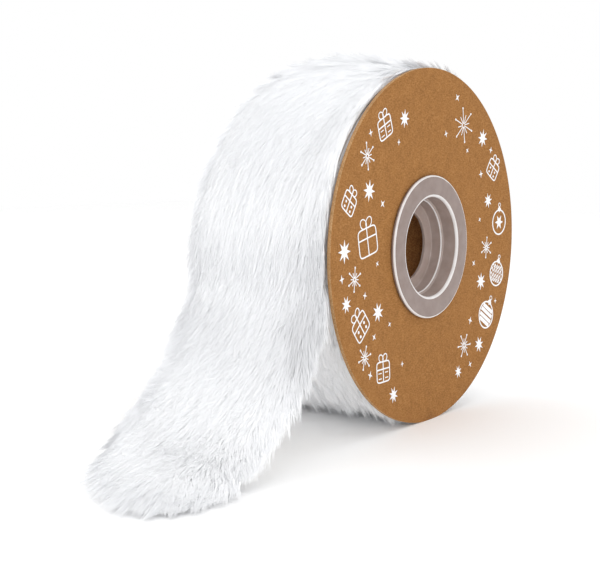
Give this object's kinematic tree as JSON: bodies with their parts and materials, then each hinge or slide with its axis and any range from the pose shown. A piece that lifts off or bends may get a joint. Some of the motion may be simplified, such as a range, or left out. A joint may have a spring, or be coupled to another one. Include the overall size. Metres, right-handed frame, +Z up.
{
  "type": "plush ribbon on a card reel",
  "caption": "Long-pile plush ribbon wound on a flanged card reel with hub bushes, standing on its flanges with the loose end run out over the front onto the surface.",
  "frame": {"origin": "middle of the underside of the whole part, on the surface it stands on", "axes": "+X along the reel's axis toward the near flange, -Y the way the loose end runs out, +Z up"},
  "size_m": [0.0682, 0.2142, 0.1365],
  "materials": {
    "kraft_card": "uncoated kraft card with a white print",
    "tube_card": "plain wound kraft card",
    "milky_plastic": "translucent moulded plastic, satin",
    "plush": "long soft white pile on a woven backing"
  },
  "bodies": {
    "root": {"flange_near": "kraft_card", "flange_far": "kraft_card", "core_tube": "tube_card", "bush_near": "milky_plastic", "bush_far": "milky_plastic", "ribbon_roll": "plush", "ribbon_end": "plush"}
  },
  "joints": []
}
